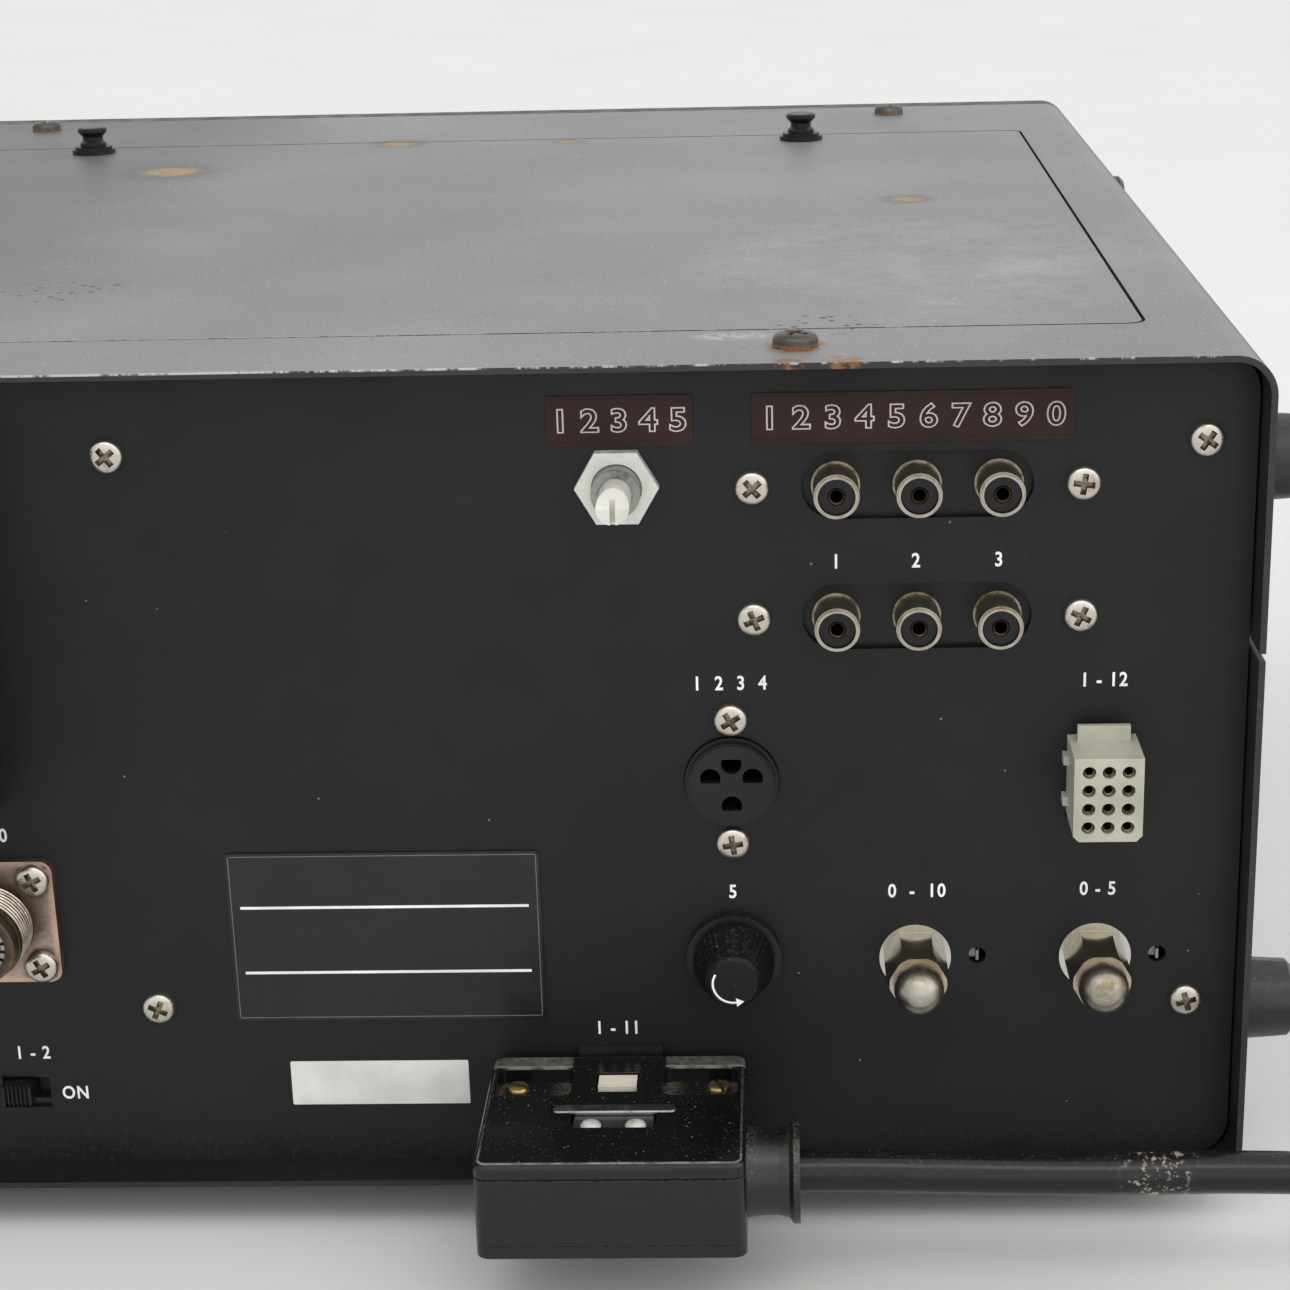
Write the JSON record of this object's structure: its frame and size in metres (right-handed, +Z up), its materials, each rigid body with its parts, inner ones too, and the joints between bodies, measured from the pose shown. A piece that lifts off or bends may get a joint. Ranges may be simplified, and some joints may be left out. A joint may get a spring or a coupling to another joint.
{
  "type": "single-sideband transceiver",
  "caption": "Desk radio transceiver: steel case with a lift-up lid, rear panel of jacks, adjusters, fuse and fan, hooded power plug with coiled mains lead, and a tuning dial and meter in front.",
  "frame": {"origin": "middle of the set without its lead, at the underside of its feet", "axes": "+Z up, +Y out of the rear panel, -Y out of the front, +X to the left hand of someone behind the set"},
  "size_m": [0.5559, 0.4187, 0.1812],
  "materials": {
    "chassis_steel": "passivated sheet steel, dull and slightly yellow",
    "panel_black": "matte black paint, fine grain",
    "cover_paint": "grey-black crackle paint, worn and dusty",
    "frame_paint": "dark grey cast frame, satin",
    "front_satin": "satin anodised plate",
    "black_plastic": "black moulded plastic",
    "gloss_black": "glossy black moulding, dusty",
    "black_rubber": "black rubber",
    "cord_rubber": "black lead sheath, slightly glossy",
    "strap_vinyl": "black grained vinyl",
    "nickel": "nickel plate, tarnished",
    "zinc_nut": "galvanised, whitish",
    "cover_screw_steel": "blackened steel with rust",
    "pot_metal": "zinc die casting",
    "cream_shaft": "cream nylon",
    "cream_nylon": "aged cream nylon",
    "brown_phenolic": "brown laminate",
    "copper_flange": "tarnished plate showing pinkish copper",
    "brass": "plain brass",
    "latch_pale": "pale moulded thumb piece",
    "glass": "clear",
    "dial_white": "printed scale",
    "knob_black": "black fluted knob",
    "button_grey": "grey push button",
    "cage_steel": "perforated plated steel",
    "tube_glass": "silvered glass",
    "transformer_core": "varnished laminations",
    "board_green": "circuit board with its parts"
  },
  "bodies": {
    "set": {"chassis": "chassis_steel", "rear_panel": "panel_black", "top_cover": "cover_paint", "bottom_cover": "cover_paint", "front_frame": "frame_paint", "front_panel": "front_satin", "rubber_feet": "black_rubber", "handle_strap": "strap_vinyl", "handle_caps": "nickel", "cover_screws": "cover_screw_steel", "panel_screws": "nickel", "jack_strips": "black_plastic", "jack_shells": "nickel", "speed_pot": "pot_metal", "speed_nut": "zinc_nut", "accessory_socket": "black_plastic", "fuse_holder": "gloss_black", "remote_connector": "cream_nylon", "adjust_pots": "pot_metal", "cap_nuts": "nickel", "antenna_socket": "copper_flange", "slide_switch": "chassis_steel", "fan_frame": "black_plastic", "power_socket": "brown_phenolic", "plug_hood": "gloss_black", "plug_base": "gloss_black", "plug_screws": "brass", "cord_bush": "black_rubber", "mains_cord": "cord_rubber", "cord_coil": "cord_rubber", "coil_tie": "black_plastic", "mains_plug": "black_plastic", "lenses": "glass", "meter_case": "dial_white", "mic_socket": "nickel", "output_cage": "cage_steel", "output_tubes": "tube_glass", "vfo_box": "cage_steel", "mains_transformer": "transformer_core", "signal_board": "board_green"},
    "lid": {"top_lid": "cover_paint", "latch_bases": "black_plastic"},
    "latch_left": {"lid_latch_left": "black_plastic"},
    "latch_right": {"lid_latch_right": "black_plastic"},
    "speed_shaft": {"speed_shaft": "cream_shaft"},
    "fuse_cap": {"fuse_cap": "gloss_black", "fuse_link": "glass"},
    "left_adjuster": {"left_adjuster": "brass"},
    "right_adjuster": {"right_adjuster": "brass"},
    "slide_knob": {"slide_knob": "black_plastic"},
    "fan_rotor": {"fan_rotor": "black_plastic"},
    "plug_latch": {"plug_latch": "latch_pale"},
    "tuning_knob": {"tuning_knob": "knob_black"},
    "dial": {"dial_disc": "dial_white"},
    "meter_needle": {"meter_needle": "black_plastic"},
    "band_knob": {"band_knob": "knob_black"},
    "mode_knob": {"mode_knob": "knob_black"},
    "preselector_knob": {"preselector_knob": "knob_black"},
    "gain_knob": {"gain_knob": "knob_black"},
    "power_button": {"power_button": "button_grey"}
  },
  "joints": [
    {"name": "lid_hinge", "type": "hinge", "parent": "set", "child": "lid", "pos_m": [0, 0.15235, 0.174], "axis": [-1, 0, 0], "range_deg": [0, 80]},
    {"name": "latch_left_pull", "type": "slide", "parent": "lid", "child": "latch_left", "axis": [0, 0, 1], "range_m": [0, 0.004]},
    {"name": "latch_right_pull", "type": "slide", "parent": "lid", "child": "latch_right", "axis": [0, 0, 1], "range_m": [0, 0.004]},
    {"name": "speed_turn", "type": "hinge", "parent": "set", "child": "speed_shaft", "pos_m": [-0.0621, 0.17335, 0.1498], "axis": [0, 1, 0], "range_deg": [-150, 150]},
    {"name": "fuse_cap_turn", "type": "hinge", "parent": "set", "child": "fuse_cap", "pos_m": [-0.0818, 0.17335, 0.0554], "axis": [0, 1, 0], "range_deg": [0, 90]},
    {"name": "left_adjuster_turn", "type": "hinge", "parent": "set", "child": "left_adjuster", "pos_m": [-0.1168, 0.17335, 0.0548], "axis": [0, 1, 0], "range_deg": [-135, 135]},
    {"name": "right_adjuster_turn", "type": "hinge", "parent": "set", "child": "right_adjuster", "pos_m": [-0.1514, 0.17335, 0.0548], "axis": [0, 1, 0], "range_deg": [-135, 135]},
    {"name": "slide_switch_throw", "type": "slide", "parent": "set", "child": "slide_knob", "axis": [-1, 0, 0], "range_m": [0, 0.003]},
    {"name": "fan_spin", "type": "hinge", "parent": "set", "child": "fan_rotor", "pos_m": [0.0985, 0.17335, 0.125], "axis": [0, 1, 0], "continuous": true},
    {"name": "plug_latch_slide", "type": "slide", "parent": "set", "child": "plug_latch", "axis": [0, 1, 0], "range_m": [0, 0.0024], "stiffness_N_per_m": 300},
    {"name": "tuning_turn", "type": "hinge", "parent": "set", "child": "tuning_knob", "pos_m": [0.02, -0.17215, 0.096], "axis": [0, 1, 0], "range_deg": [-720, 720]},
    {"name": "dial_turn", "type": "hinge", "parent": "set", "child": "dial", "pos_m": [0.02, -0.17215, 0.096], "axis": [0, 1, 0], "range_deg": [-120, 120]},
    {"name": "meter_swing", "type": "hinge", "parent": "set", "child": "meter_needle", "pos_m": [-0.115, -0.17215, 0.115], "axis": [0, 1, 0], "range_deg": [0, 80], "stiffness_Nm_per_rad": 0.0002},
    {"name": "band_turn", "type": "hinge", "parent": "set", "child": "band_knob", "pos_m": [0.126, -0.17215, 0.124], "axis": [0, 1, 0], "range_deg": [-105, 105]},
    {"name": "mode_turn", "type": "hinge", "parent": "set", "child": "mode_knob", "pos_m": [0.126, -0.17215, 0.054], "axis": [0, 1, 0], "range_deg": [-60, 60]},
    {"name": "preselector_turn", "type": "hinge", "parent": "set", "child": "preselector_knob", "pos_m": [-0.072, -0.17215, 0.054], "axis": [0, 1, 0], "range_deg": [-140, 140]},
    {"name": "gain_turn", "type": "hinge", "parent": "set", "child": "gain_knob", "pos_m": [-0.112, -0.17215, 0.054], "axis": [0, 1, 0], "range_deg": [-140, 140]},
    {"name": "power_press", "type": "slide", "parent": "set", "child": "power_button", "axis": [0, 1, 0], "range_m": [0, 0.003], "stiffness_N_per_m": 200}
  ],
  "couplings": [
    {"joint": "dial_turn", "follows": "tuning_turn", "ratio": 0.1666}
  ]
}
